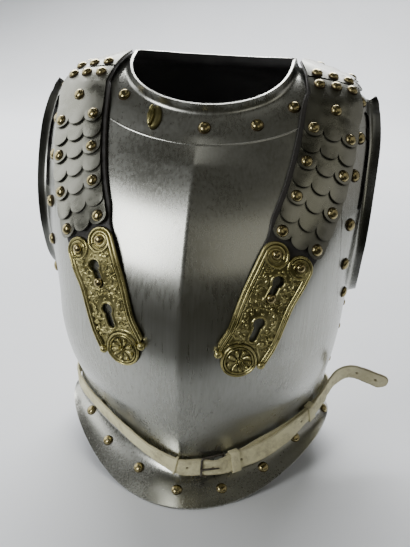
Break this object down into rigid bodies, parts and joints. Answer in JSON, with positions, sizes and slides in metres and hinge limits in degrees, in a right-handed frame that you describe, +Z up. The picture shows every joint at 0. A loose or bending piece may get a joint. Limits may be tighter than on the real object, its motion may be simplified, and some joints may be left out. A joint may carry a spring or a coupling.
{
  "type": "cuirass",
  "caption": "Steel cavalry cuirass: breastplate and backplate joined by scale-covered shoulder straps with brass keyhole plates, brass rivets and a buckled waist belt.",
  "frame": {"origin": "on the surface it stands on, under the middle of the bounding box", "axes": "+Z up, -Y the front of the breastplate, +X the wearer's left, where the free end of the belt is"},
  "size_m": [0.4158, 0.3402, 0.4616],
  "materials": {
    "plate_steel": "satin polished, vertical brushing, light wear",
    "scale_steel": "dull steel scales with worn edges",
    "plate_brass": "cast relief, dark in the hollows",
    "rivet_brass": "domed heads, tarnished at the rim",
    "strap_leather": "black, worn",
    "belt_leather": "whitened buff leather, creased",
    "dark_iron": "darkened iron"
  },
  "bodies": {
    "root": {"breastplate": "plate_steel", "backplate": "plate_steel", "strap_leather_left": "strap_leather", "strap_leather_right": "strap_leather", "scale_front_1_left": "scale_steel", "scale_front_1_right": "scale_steel", "scale_front_2_left": "scale_steel", "scale_front_2_right": "scale_steel", "scale_front_3_left": "scale_steel", "scale_front_3_right": "scale_steel", "scale_front_4_left": "scale_steel", "scale_front_4_right": "scale_steel", "scale_front_5_left": "scale_steel", "scale_front_5_right": "scale_steel", "scale_front_6_left": "scale_steel", "scale_front_6_right": "scale_steel", "scale_shoulder_left": "scale_steel", "scale_shoulder_right": "scale_steel", "scale_crest_left": "scale_steel", "scale_crest_right": "scale_steel", "scale_back_1_left": "scale_steel", "scale_back_1_right": "scale_steel", "scale_back_2_left": "scale_steel", "scale_back_2_right": "scale_steel", "keyhole_plate_left": "plate_brass", "keyhole_plate_right": "plate_brass", "strap_stud_left": "rivet_brass", "strap_stud_right": "rivet_brass", "rivet_neck_1": "rivet_brass", "rivet_neck_2": "rivet_brass", "rivet_neck_3": "rivet_brass", "rivet_neck_4": "rivet_brass", "rivet_arm_left_1": "rivet_brass", "rivet_arm_left_2": "rivet_brass", "rivet_arm_left_3": "rivet_brass", "rivet_arm_left_4": "rivet_brass", "rivet_arm_left_5": "rivet_brass", "rivet_arm_left_6": "rivet_brass", "rivet_arm_right_1": "rivet_brass", "rivet_arm_right_2": "rivet_brass", "rivet_arm_right_3": "rivet_brass", "rivet_arm_right_4": "rivet_brass", "rivet_arm_right_5": "rivet_brass", "rivet_arm_right_6": "rivet_brass", "rivet_waist_1": "rivet_brass", "rivet_waist_2": "rivet_brass", "rivet_waist_3": "rivet_brass", "rivet_waist_4": "rivet_brass", "rivet_waist_5": "rivet_brass", "rivet_waist_6": "rivet_brass", "rivet_waist_7": "rivet_brass", "rivet_waist_8": "rivet_brass", "neck_hook": "plate_brass", "belt_billet": "belt_leather", "belt_chape": "belt_leather", "belt_keeper_fixed": "belt_leather", "belt_keeper_loose": "belt_leather", "belt_thong": "belt_leather", "belt_buckle": "dark_iron", "belt_tongue": "dark_iron"}
  },
  "joints": []
}
